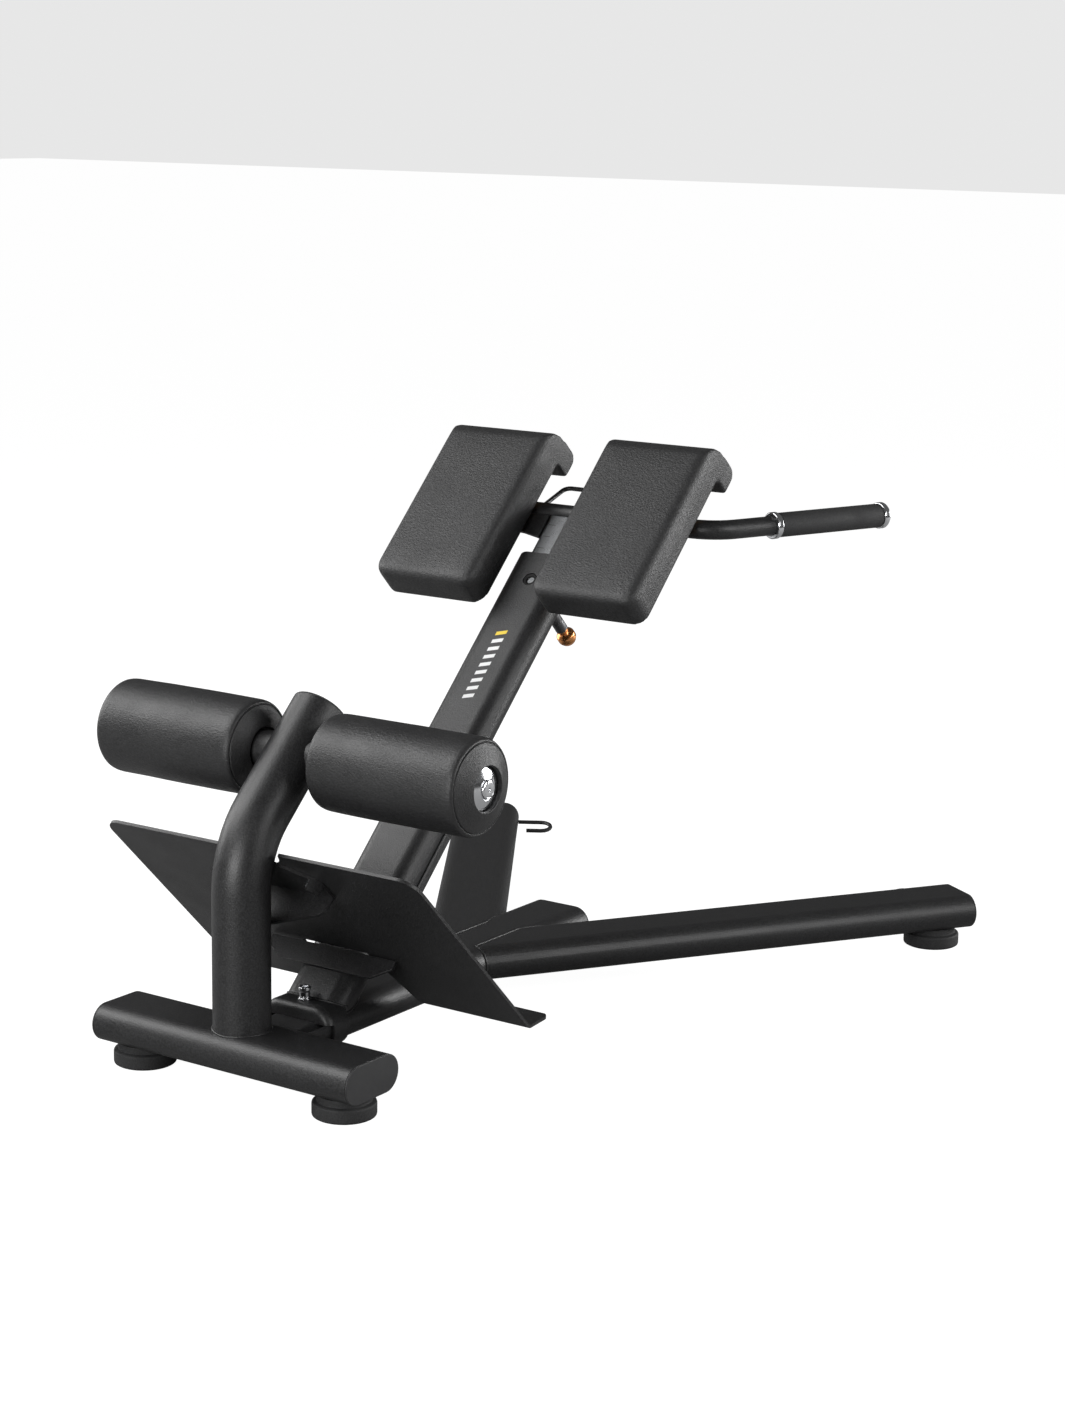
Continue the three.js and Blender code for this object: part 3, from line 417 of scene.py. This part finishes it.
# ---------- carried-over CAD nodes ----------
BEVELS = {"powder_coat": 0.0009, "cap_plastic": 0.0016, "steel": 0.0005, "nylon": 0.0005}


def dress_cad_nodes():
    for name, obj in NODES.items():
        slot = SLOT_OF[name]
        obj.data.materials.clear()
        obj.data.materials.append(MATERIALS[slot])
        weld = obj.modifiers.new("weld", "WELD")
        weld.merge_threshold = 0.00001
        flat = obj.modifiers.new("join_flats", "DECIMATE")
        flat.decimate_type = "DISSOLVE"
        flat.angle_limit = math.radians(0.4)
        edge = obj.modifiers.new("soft_edges", "BEVEL")
        edge.width = BEVELS.get(slot, 0.0005)
        edge.segments = 2
        edge.limit_method = "ANGLE"
        edge.angle_limit = math.radians(38)
        edge.harden_normals = False
        shade = obj.modifiers.new("shade", "WEIGHTED_NORMAL")
        shade.keep_sharp = True
        smooth(obj.data, 32)


# ---------- soft goods ----------
VOXEL = 0.004
CLOTH_FRAMES = 20
CLOTH_PRESSURE = 4
SWELL_CAP = 0.0026
SWELL_PASSES = 40
RIM_HELD = 0.012
RIM_FADE = 0.02


def mirrored(mesh):
    mesh.transform(Matrix.Diagonal((-1, 1, 1, 1)))
    mesh.flip_normals()


def add_relax(obj, iterations):
    relax = obj.modifiers.new("relax", "SMOOTH")
    relax.factor = 0.5
    relax.iterations = iterations


def evaluated(obj):
    graph = bpy.context.evaluated_depsgraph_get()
    return bpy.data.meshes.new_from_object(obj.evaluated_get(graph))


def spread_out(mesh, values, passes):
    """The values averaged over each vertex and its neighbours, passes times."""
    ends = np.array([edge.vertices[:] for edge in mesh.edges])
    count = len(mesh.vertices)
    share = 1.0 + np.bincount(ends.ravel(), minlength=count)
    for _ in range(passes):
        total = values + np.bincount(ends[:, 0], values[ends[:, 1]], count)
        values = (total + np.bincount(ends[:, 1], values[ends[:, 0]], count)) / share
    return values


def swollen(mesh, cap, freedom):
    """The mesh pushed out along its normals by a short pressurised cloth run, evened out.

    No point rises past cap times its freedom, and points with none are pinned.
    """
    obj = bpy.data.objects.new("swelling", mesh)
    bpy.context.scene.collection.objects.link(obj)
    bpy.context.view_layer.objects.active = obj
    rest = np.array([v.co for v in mesh.vertices])
    pinned = obj.vertex_groups.new(name="held")
    for index in np.nonzero(freedom < 0.02)[0].tolist():
        pinned.add([index], 1.0, "REPLACE")
    cloth = obj.modifiers.new("pressure", "CLOTH")
    settings = cloth.settings
    settings.quality = 5
    settings.mass = 0.35
    settings.tension_stiffness = 18
    settings.compression_stiffness = 18
    settings.bending_stiffness = 2.0
    settings.use_pressure = True
    settings.uniform_pressure_force = CLOTH_PRESSURE
    settings.vertex_group_mass = "held"
    settings.effector_weights.gravity = 0
    scene = bpy.context.scene
    for step in range(1, CLOTH_FRAMES + 1):
        scene.frame_set(step)
    graph = bpy.context.evaluated_depsgraph_get()
    moved = np.array([v.co for v in obj.evaluated_get(graph).data.vertices])
    scene.frame_set(1)
    bpy.data.objects.remove(obj)
    normals = np.array([v.normal for v in mesh.vertices])
    rise = np.clip(np.sum((moved - rest) * normals, axis=1), 0.0, cap)
    rise = spread_out(mesh, rise, SWELL_PASSES) * freedom
    mesh.vertices.foreach_set("co", (rest + normals * rise[:, None]).astype(np.float32).ravel())
    mesh.update()
    return mesh


def pad_mesh():
    """The right thigh pad in the post frame: remeshed, swollen and softened."""
    source = NODES["thigh_pad_right"].data.copy()
    source.transform(POST.inverted())
    blank = bpy.data.objects.new("pad_blank", source)
    bpy.context.scene.collection.objects.link(blank)
    blank.modifiers.new("weld", "WELD").merge_threshold = 0.00001
    remesh = blank.modifiers.new("remesh", "REMESH")
    remesh.mode = "VOXEL"
    remesh.voxel_size = VOXEL
    add_relax(blank, 2)
    mesh = evaluated(blank)
    bpy.data.objects.remove(blank)
    co = np.array([v.co for v in mesh.vertices])
    height = co[:, 2]
    above = np.clip((height - PAD_BACK - RIM_HELD) / RIM_FADE, 0, 1)
    beyond = np.clip((co[:, 1] - PAD_LIP_S) / RIM_FADE, 0, 1)
    freedom = np.maximum(above, beyond * np.clip((height + 0.001) / 0.01, 0, 1))
    mesh = swollen(mesh, SWELL_CAP, freedom)
    soft = bpy.data.objects.new("pad_soft", mesh)
    bpy.context.scene.collection.objects.link(soft)
    add_relax(soft, 1)
    finer = soft.modifiers.new("round", "SUBSURF")
    finer.levels = 1
    finer.render_levels = 1
    mesh = evaluated(soft)
    bpy.data.objects.remove(soft)
    return mesh


def build_pads():
    shape = pad_mesh()
    for side, sign in SIDES:
        mesh = shape.copy()
        if sign < 0:
            mirrored(mesh)
        mesh.transform(POST)
        mesh.polygons.foreach_set("use_smooth", [True] * len(mesh.polygons))
        pad = new_object(f"cushion_{side}", mesh, MATERIALS["pad_leather"], "carriage")
        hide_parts(f"thigh_pad_{side}")


def roller_mesh():
    """The right roller about its own axis, along X from 0: crowned foam, piped rings, coned ends."""
    length = ROLLER_HIGH.x - ROLLER_LOW.x
    end = [
        (0.0210, HOLE_DEPTH), (HOLE_R, HOLE_DEPTH), (HOLE_R, 0.0016), (HOLE_R + 0.0014, 0.0002),
        (0.0480, 0.0047), (0.0600, 0.0096), (0.0668, 0.0124), (0.0678, 0.0131), (0.0683, 0.0150),
        (0.0694, 0.0151), (0.0700, 0.0137), (0.0722, 0.0146), (0.0743, 0.0176), (0.0753, 0.0222),
        (ROLLER_R - 0.0001, 0.0280),
    ]
    steps = 24
    start, run = end[-1][1], length - 2 * end[-1][1]
    body = [(ROLLER_R - 0.0001 + 0.0005 * math.sin(math.pi * k / steps), start + run * k / steps)
            for k in range(1, steps)]
    far = [(r, length - z) for r, z in reversed(end)]
    return lathe([*end, *body, *far, end[0]], None, 112, 0.0010, 50)


def build_rollers():
    for side, sign in SIDES:
        mesh = roller_mesh()
        for v in mesh.vertices:
            point = Vector((v.co.x * 16, v.co.y * 16, v.co.z * 16 + sign * 3))
            away = Vector((v.co.x, v.co.y, 0))
            if away.length > 0.05:
                v.co += away.normalized() * (noise.noise(point) * 0.0005)
        place = Matrix.Rotation(math.pi / 2, 4, "Y")
        mesh.transform(Matrix.Translation((ROLLER_LOW.x, ROLLER_AXIS.y, ROLLER_AXIS.z)) @ place)
        if sign < 0:
            mirrored(mesh)
        roller = new_object(f"foam_roller_{side}", mesh, MATERIALS["roller_foam"],
                            f"roller_{side}")
        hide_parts(f"ankle_roller_{side}")


# ---------- turned hardware ----------
def stand_in(name, mesh, body, node, material=None):
    slot = SLOT_OF[node]
    obj = new_object(name, mesh, material or MATERIALS[slot], body)
    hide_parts(node)
    return obj


def build_end_discs():
    """Chromed cone discs with a button-head bolt, sunk in the rollers' outer ends."""
    for side, sign in SIDES:
        low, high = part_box(f"roller_end_disc_{side}")
        inner = low.x if sign > 0 else high.x
        place = Matrix.Translation((inner, ROLLER_AXIS.y, ROLLER_AXIS.z))
        place = place @ Matrix.Rotation(sign * math.pi / 2, 4, "Y")
        rim = (high.z - low.z) / 2
        disc = lathe([
            (0, 0), (rim - 0.0006, 0), (rim, 0.0008), (rim, 0.0026), (rim - 0.0012, 0.0033),
            (0.0172, 0.0082), (0.0169, 0.0074), (0.0156, 0.0074), (0.0153, 0.0094), (0.0147, 0.0112),
            (0.0128, 0.0123), (0.0120, 0.0118), (0.0112, 0.0121), (0.0030, 0.0124), (0.0027, 0.0119),
            (0.0026, 0.0085), (0, 0.0080),
        ], place, 96, 0.0004)
        stand_in(f"end_disc_{side}", disc, "frame", f"roller_end_disc_{side}")


def grip_place(sign, along):
    direction = Vector((sign * math.sin(HANDLE_OUT), math.cos(HANDLE_OUT), 0))
    corner = Vector((sign * HANDLE_CORNER_X, HANDLE_Y, HANDLE_Z))
    turn = Vector((0, 0, 1)).rotation_difference(direction).to_matrix().to_4x4()
    return Matrix.Translation(corner + direction * along) @ turn


def build_grips():
    tube, grip_r, collar_r = 0.0168, 0.021, 0.023
    length = GRIP_END - GRIP_START - 0.001
    for side, sign in SIDES:
        rubber_line = [(tube, 0), (grip_r - 0.0012, 0), (grip_r, 0.0012)]
        rubber_line += [(grip_r, length - 0.0012), (grip_r - 0.0012, length), (tube, length), (tube, 0)]
        sleeve = lathe(rubber_line, grip_place(sign, GRIP_START), 64, 0.0004)
        stand_in(f"grip_sleeve_{side}", sleeve, "carriage", f"hand_grip_{side}")
        ring = lathe([
            (tube, 0), (collar_r - 0.0016, 0), (collar_r, 0.0014), (collar_r, 0.0098),
            (collar_r - 0.0012, 0.0117), (tube, 0.0117), (tube, 0),
        ], grip_place(sign, GRIP_START - 0.012), 72, 0.0005)
        stand_in(f"collar_ring_{side}", ring, "carriage", f"grip_collar_{side}")
        end = lathe([
            (0, -0.0213), (0.0127, -0.0213), (0.0127, 0), (collar_r - 0.0014, 0), (collar_r, 0.0014),
            (collar_r, 0.0098), (collar_r - 0.0022, 0.0124), (0.014, 0.0129), (0.0125, 0.0122),
            (0, 0.0122),
        ], grip_place(sign, GRIP_END - 0.0007), 72, 0.0006)
        stand_in(f"end_cap_{side}", end, "carriage", f"grip_end_cap_{side}")


def build_pop_pin():
    down = PIN @ Matrix.Rotation(math.pi, 4, "X")
    knob_start = 0.115
    knob = lathe([(0.0039, 0), (0.0086, 0), (0.0090, 0.0006), (0.0090, 0.0046), (0.0076, 0.0062),
                  (0.0076, 0.0078), (0.0090, 0.0096), (0.0135, 0.0112), (0.0158, 0.0130),
                  (0.0165, 0.0152), (0.0165, 0.0238), (0.0158, 0.0258), (0.0144, 0.0282),
                  (0.0138, 0.0300), (0.0120, 0.0325), (0.0075, 0.0350), (0, 0.0358), (0, 0.0203),
                  (0.0039, 0.0203), (0.0039, 0)], down @ Matrix.Translation((0, 0, knob_start)), 72,
                 0.0007)
    stand_in("pull_knob", knob, "pop_pin", "pop_pin_knob")
    line = [(0.0053, 0.0262), (0.011, 0.0262), (0.011, 0.0293), (0.0152, 0.0293), (0.0152, 0.0355),
            (0.0132, 0.0382)]
    grooves = 16
    for i in range(grooves):
        h = 0.041 + i * 0.0012
        line += [(0.0110, h), (0.0104, h + 0.0006)]
    line += [(0.0110, 0.0615), (0.0110, 0.0860), (0.0100, 0.0868), (0.0100, 0.0890), (0.0110, 0.0898),
             (0.0110, 0.1125), (0.0092, 0.1145), (0.0043, 0.1145), (0.0043, 0.1105), (0.0072, 0.1105),
             (0.0072, 0.0350), (0.0053, 0.0350), (0.0053, 0.0262)]
    housing = lathe(line, down, 48, 0.0002, 25)
    stand_in("pin_housing", housing, "frame", "pop_pin_barrel", DARK_ZINC)
    # Near-black ring just under the post's face round the pin hole: painted shade standing in for the
    # dark inside of the hole
    bush = lathe([(0.0068, 0.0256), (0.0124, 0.0256), (0.0124, 0.0278), (0.0112, 0.0284),
                  (0.0080, 0.0276), (0.0068, 0.0266), (0.0068, 0.0256)], PIN, 48, 0.0002)
    new_object("post_hole_shade_ring", bush, DARK_PRINT_AND_SHADE, "frame")


def build_rail_bolt():
    low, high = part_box("rail_bolt")
    centre = middle("rail_bolt")
    seat = high.z - 0.021
    place = Matrix.Translation((centre.x, centre.y, 0))
    head = lathe([
        (0, low.z), (0.0062, low.z), (0.0062, seat), (0.011, seat), (0.011, seat + 0.0026),
        (0.0092, seat + 0.0034), (0.0086, seat + 0.006), (0.0086, seat + 0.0125),
        (0.0090, seat + 0.0145), (0.0098, seat + 0.0158), (0.0098, seat + 0.0202),
        (0.0090, seat + 0.021), (0.0058, seat + 0.021), (0.0055, seat + 0.0205),
        (0.0052, seat + 0.0150), (0, seat + 0.0148),
    ], place, 64, 0.0004)
    stand_in("joint_bolt", head, "frame", "rail_bolt")


def build_feet():
    for end in ("front", "rear"):
        for side, _ in SIDES:
            node = f"{end}_foot_{side}"
            low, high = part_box(node)
            centre, r = (low + high) / 2, (high.x - low.x) / 2
            top = high.z
            foot = lathe([
                (0, 0.0), (r - 0.0035, 0.0), (r - 0.0008, 0.0016), (r, 0.0040), (r, 0.0200),
                (r - 0.0010, 0.0226), (r - 0.0048, 0.0240), (r - 0.0066, 0.0243),
                (r - 0.0074, 0.0262), (r - 0.0078, top - 0.0006), (0, top),
            ], Matrix.Translation((centre.x, centre.y, 0)), 96, 0.0008)
            stand_in(f"{end}_pad_foot_{side}", foot, "frame", node)


def hex_bolt(place, head_r=0.0075, head_h=0.0052, washer_r=0.0098):
    """Washer and chamfered hex head standing on z = 0."""
    washer = lathe([(0, 0), (washer_r, 0), (washer_r, 0.0014), (0, 0.0014)], place, 32, 0.0003)
    nut = prism(circle(head_r, 6), 0.0014, head_h, place)
    crown = lathe([(0, head_h), (head_r * 0.84, head_h), (head_r * 0.8, head_h + 0.0005),
                   (0, head_h + 0.0005)], place, 32, 0.0002)
    return merged([washer, nut, crown])


def build_pad_bolts():
    """Bolts through each pad rail into the pad board, two a side."""
    for side, sign in SIDES:
        x = sign * (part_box("pad_rail_right")[0].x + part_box("pad_rail_right")[1].x) / 2
        for row, s in (("lower", 0.806), ("upper", 1.022)):
            place = POST @ Matrix.Translation((x, s, 0.0248)) @ Matrix.Rotation(math.pi, 4, "X")
            bolt = hex_bolt(place)
            new_object(f"pad_bolt_{row}_{side}", bolt, MATERIALS["steel"], "carriage")


# ---------- welds ----------
def base_tube_side(z):
    """Half width of a base tube at height z."""
    rise = max(-TUBE_R, min(TUBE_R, z - BASE_Z))
    return TUBE_FLAT + math.sqrt(TUBE_R * TUBE_R - rise * rise)


def oval_points(width, height, count):
    """Points round a flat oval, evenly spaced, from its lowest right end."""
    r, reach = height / 2, (width - height) / 2
    total = 4 * reach + 2 * math.pi * r
    for i in range(count):
        d = total * i / count
        if d < 2 * reach:
            yield -reach + d, -r
        elif d < 2 * reach + math.pi * r:
            a = (d - 2 * reach) / r - math.pi / 2
            yield reach + r * math.cos(a), r * math.sin(a)
        elif d < 4 * reach + math.pi * r:
            yield reach - (d - 2 * reach - math.pi * r), r
        else:
            a = (d - 4 * reach - math.pi * r) / r + math.pi / 2
            yield -reach + r * math.cos(a), r * math.sin(a)


def surface_top(x, half_h=TUBE_R):
    """Height of a base tube that runs along Y, at x across it."""
    off = max(0.0, abs(x) - TUBE_FLAT)
    return BASE_Z + math.sqrt(max(0.0, half_h * half_h - off * off))


WELD_BEAD_R = 0.0021
WELD_STEPS = 220


def add_weld(name, path):
    bead = sweep(path, WELD_BEAD_R, True, 8, 0.06)
    new_object(name, bead, WELD, "frame")


def build_welds():
    front_low, front_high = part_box("front_post")
    post_r = (front_high.x - front_low.x) / 2
    path = []
    for i in range(150):
        a = 2 * math.pi * i / 150
        x, y = post_r * math.cos(a), post_r * math.sin(a)
        off = max(0.0, abs(y) - TUBE_FLAT)
        path.append(Vector((x, FRONT_Y + y, BASE_Z + math.sqrt(TUBE_R ** 2 - off ** 2))))
    add_weld("weld_front_post", path)

    collar_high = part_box("rail_collar")[1]
    path = []
    for x, h in oval_points(POST_W, POST_H, WELD_STEPS):
        s = 0.0
        for _ in range(12):
            point = POST @ Vector((x, s, h))
            on_collar = point.y < collar_high.y
            top = surface_top(x, collar_high.z - BASE_Z if on_collar else TUBE_R)
            s += (top - point.z) / math.sin(POST_TILT)
        path.append(POST @ Vector((x, s, h)))
    add_weld("weld_main_post", path)

    for side, sign in SIDES:
        path = []
        for across, rise in oval_points(2 * (TUBE_FLAT + TUBE_R), TUBE_H, WELD_STEPS):
            x = base_tube_side(BASE_Z + rise)
            along = (x - across * math.cos(LEG_SPLAY)) / math.sin(LEG_SPLAY)
            y = LEG_APEX_Y - across * math.sin(LEG_SPLAY) + along * math.cos(LEG_SPLAY)
            path.append(Vector((sign * x, y, BASE_Z + rise)))
        add_weld(f"weld_leg_{side}", path)


# ---------- printed marks ----------
MARKS = 9
MARKS_FROM_S = 0.565
MARK_BAR = 0.0075
TICKS = 3
TICKS_FROM_S = 0.888
TICK_STEP = 0.025


def build_marks():
    """Plain slanted bars on the post's face, and position ticks on the slide bar."""
    face = POST_H / 2
    slant, width, step = 0.006, 0.020, 0.0165
    for i in range(MARKS):
        s = MARKS_FROM_S + i * step
        outline = [(-width / 2, s), (width / 2, s + slant), (width / 2, s + slant + MARK_BAR),
                   (-width / 2, s + MARK_BAR)]
        ink = YELLOW_INK if i == MARKS - 1 else WHITE_INK
        mark = prism(outline, face + 0.00002, face + 0.00016, POST)
        new_object(f"post_mark_{i + 1}", mark, ink, "frame")
    bar_face = 0.025
    for i in range(TICKS):
        s = TICKS_FROM_S + i * TICK_STEP
        tick = prism([(-0.022, s), (-0.008, s), (-0.008, s + 0.0009), (-0.022, s + 0.0009)],
                     bar_face + 0.00002, bar_face + 0.0001, POST)
        new_object(f"slide_tick_{i + 1}", tick, DARK_PRINT_AND_SHADE, "carriage")


# ---------- stage ----------
def area_light(name, place, target, size, power):
    data = bpy.data.lights.new(name, "AREA")
    data.shape = "RECTANGLE"
    data.size, data.size_y = size
    data.energy = power
    lamp = bpy.data.objects.new(name, data)
    bpy.context.scene.collection.objects.link(lamp)
    lamp.location = place
    lamp.visible_camera = False
    lamp.rotation_euler = (Vector(target) - Vector(place)).to_track_quat("-Z", "Y").to_euler()


def seen_and_lit(tree, seen, lit, output):
    """One look for the camera's own rays and another for everything that light bounces off."""
    path = tree.nodes.new("ShaderNodeLightPath")
    mix = tree.nodes.new("ShaderNodeMixShader")
    tree.links.new(path.outputs["Is Camera Ray"], mix.inputs[0])
    tree.links.new(lit, mix.inputs[1])
    tree.links.new(seen, mix.inputs[2])
    tree.links.new(mix.outputs[0], output)


def build_stage():
    mesh = bpy.data.meshes.new("floor")
    reach = 40
    mesh.from_pydata([(-reach, -reach, 0), (reach, -reach, 0), (reach, reach, 0), (-reach, reach, 0)],
                     [], [(0, 1, 2, 3)])
    floor = bpy.data.objects.new("floor", mesh)
    bpy.context.scene.collection.objects.link(floor)
    s = Shader("pale_floor", (0.3, 0.3, 0.3), 0.9, Specular_IOR_Level=0.1)
    bright = s.node("ShaderNodeBsdfDiffuse", Color=(0.2, 0.2, 0.2, 1))
    glow = s.node("ShaderNodeEmission", Strength=0.97)
    both = s.tree.nodes.new("ShaderNodeAddShader")
    s.link(bright.outputs[0], both.inputs[0])
    s.link(glow.outputs[0], both.inputs[1])
    output = s.tree.nodes["Material Output"].inputs["Surface"]
    seen_and_lit(s.tree, both.outputs[0], s.bsdf.outputs[0], output)
    mesh.materials.append(s.material)
    world = bpy.data.worlds.new("studio")
    world.use_nodes = True
    tree = world.node_tree
    dim = tree.nodes["Background"]
    dim.inputs["Color"].default_value = (1, 1, 1, 1)
    dim.inputs["Strength"].default_value = 0.1
    white = tree.nodes.new("ShaderNodeBackground")
    seen_and_lit(tree, white.outputs[0], dim.outputs[0], tree.nodes["World Output"].inputs["Surface"])
    bpy.context.scene.world = world
    area_light("key", (-2.3, -2.0, 3.2), (0, -0.2, 0.5), (2.6, 2.6), 120)
    area_light("left", (-3.6, -0.6, 1.5), (0, 0, 0.4), (2.2, 1.8), 60)
    area_light("right", (3.6, -0.2, 1.9), (0, 0, 0.4), (2.2, 2.0), 60)
    area_light("right_back", (2.7, 3.3, 1.2), (0, 0, 0.4), (2.0, 1.6), 110)
    area_light("front", (0.2, -4.2, 1.1), (0, -0.3, 0.4), (2.2, 1.2), 85)


CAMERA_PLACE = (2.71585, FRONT_Y - 3.18955, 1.50356)


def build_camera():
    """A long lens in front of the chair's right side, a little above it."""
    azimuth, elevation, roll = math.radians(34.423), math.radians(12.226), math.radians(0.896)
    forward = Vector((-math.sin(azimuth) * math.cos(elevation),
                      math.cos(azimuth) * math.cos(elevation), -math.sin(elevation)))
    right = forward.cross(Vector((0, 0, 1))).normalized()
    up = right.cross(forward)
    across = right * math.cos(roll) + up * math.sin(roll)
    upward = up * math.cos(roll) - right * math.sin(roll)
    turn = Matrix((across, upward, -forward)).transposed().to_4x4()
    data = bpy.data.cameras.new("camera")
    data.sensor_width = 36
    data.lens = 72.319
    data.clip_end = 60
    camera = bpy.data.objects.new("camera", data)
    bpy.context.scene.collection.objects.link(camera)
    camera.matrix_world = Matrix.Translation(CAMERA_PLACE) @ turn
    bpy.context.scene.camera = camera


def build_view():
    scene = bpy.context.scene
    scene.view_settings.view_transform = "Standard"
    scene.view_settings.look = "None"


dress_cad_nodes()
build_pads()
build_rollers()
build_end_discs()
build_grips()
build_pop_pin()
build_rail_bolt()
build_feet()
build_pad_bolts()
build_welds()
build_marks()
build_stage()
build_camera()
build_view()
